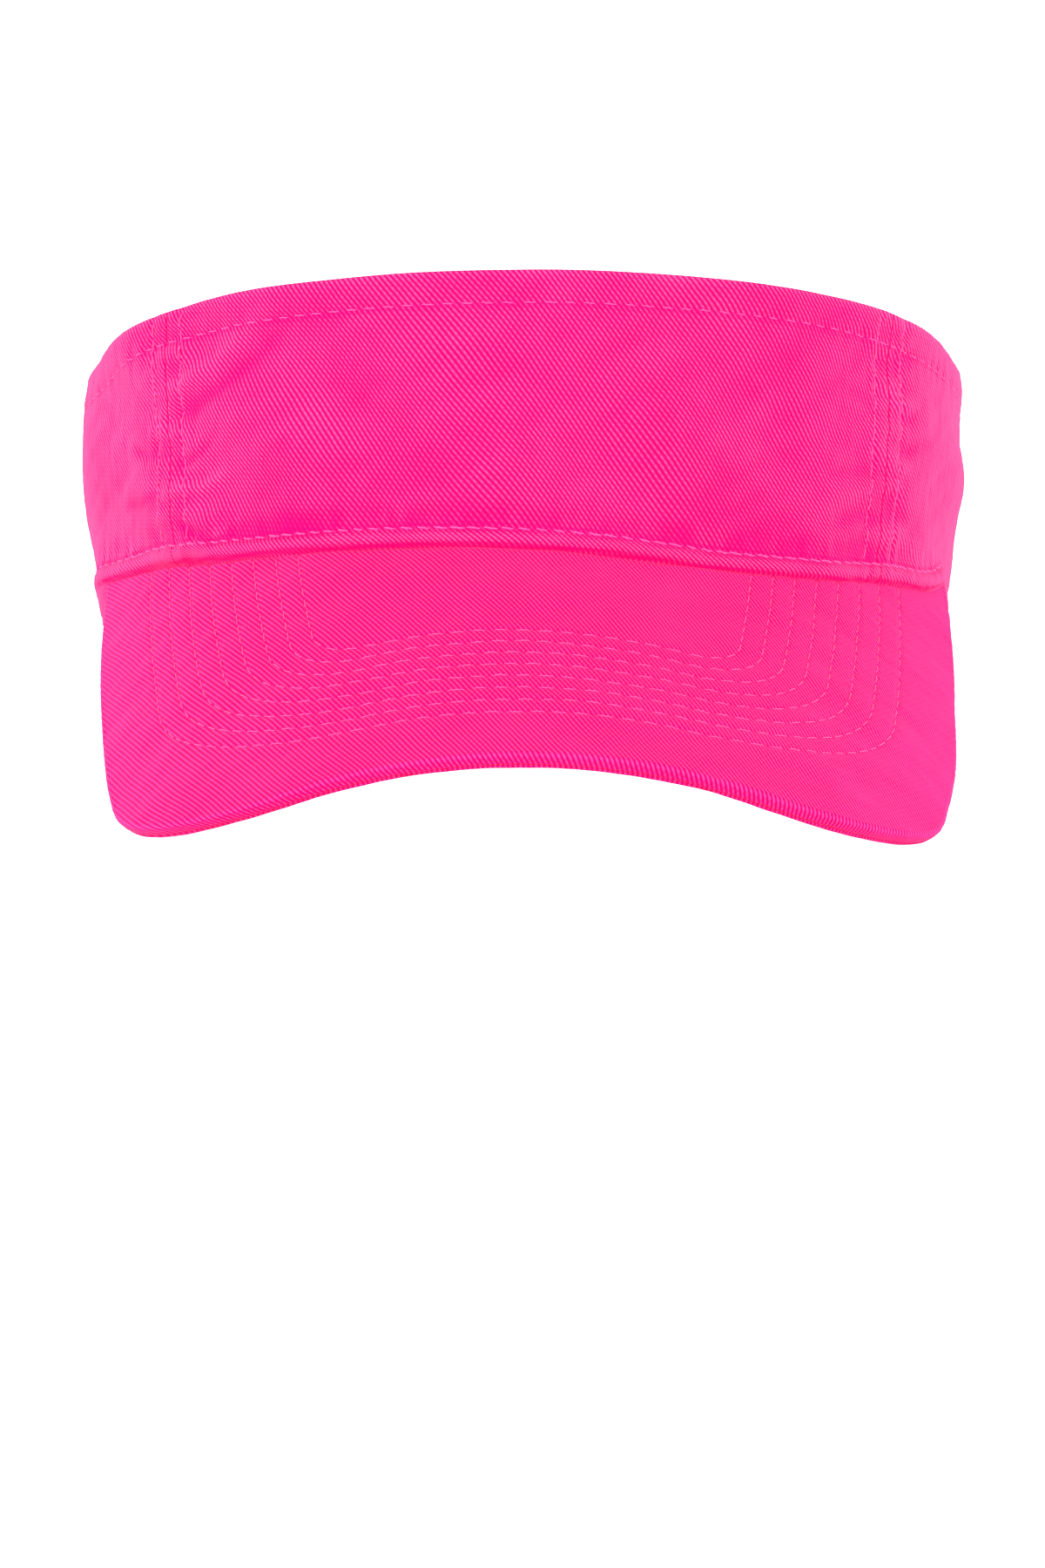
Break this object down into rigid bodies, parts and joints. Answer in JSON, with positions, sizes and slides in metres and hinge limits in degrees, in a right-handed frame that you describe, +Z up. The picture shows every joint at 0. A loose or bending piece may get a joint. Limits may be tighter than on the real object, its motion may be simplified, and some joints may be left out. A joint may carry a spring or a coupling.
{
  "type": "sun visor",
  "caption": "Open-topped fabric sun visor: flared cloth band with side seams, curved stitched bill over a stiff board, and a sliding back strap with a cam buckle.",
  "frame": {"origin": "where the axis of the head opening meets the table that the visor rests on", "axes": "+Z up, -Y the way the bill points, +X the wearer's left"},
  "size_m": [0.1828, 0.2586, 0.1031],
  "materials": {
    "panel_twill": "garment-washed cotton twill",
    "bill_twill": "garment-washed cotton twill",
    "strap_twill": "doubled cotton twill",
    "thread": "polyester sewing thread",
    "backing_fabric": "fused plain-weave lining",
    "sweatband_fabric": "brushed cotton",
    "label_fabric": "woven satin, blank",
    "brim_board": "moulded polyethylene sheet",
    "buckle_metal": "antiqued brass"
  },
  "bodies": {
    "root": {"bill_board": "brim_board", "bill_bottom_cover": "bill_twill", "bill_edge_welt": "bill_twill", "bill_stitch_row_1": "thread", "bill_stitch_row_2": "thread", "bill_stitch_row_3": "thread", "bill_stitch_row_4": "thread", "bill_stitch_row_5": "thread", "bill_stitch_row_6": "thread", "bill_stitch_row_7": "thread", "bill_stitch_row_8": "thread", "bill_top_cover": "bill_twill", "blank_label": "label_fabric", "buckle_frame": "buckle_metal", "buckle_pin": "buckle_metal", "buckle_tab": "strap_twill", "front_panel": "panel_twill", "front_panel_backing": "backing_fabric", "left_side_backing": "backing_fabric", "left_side_panel": "panel_twill", "left_side_seam_stitching": "thread", "lower_edge_stitching": "thread", "right_side_backing": "backing_fabric", "right_side_panel": "panel_twill", "right_side_seam_stitching": "thread", "sweatband": "sweatband_fabric", "sweatband_stitching": "thread", "tab_bar_tacks": "thread", "top_edge_stitching": "thread"},
    "strap": {"strap": "strap_twill", "strap_stitching": "thread"},
    "lever": {"buckle_lever": "buckle_metal"}
  },
  "joints": [
    {"name": "strap_adjust", "type": "hinge", "parent": "root", "child": "strap", "pos_m": [0, 0.00446, 0.01967], "axis": [0, 0.221, 0.9753], "range_deg": [-18, 18]},
    {"name": "buckle_lever_turn", "type": "hinge", "parent": "root", "child": "lever", "pos_m": [-0.00971, 0.0963, 0.01728], "axis": [0.007, -0.2641, -0.9645], "range_deg": [0, 100]}
  ]
}
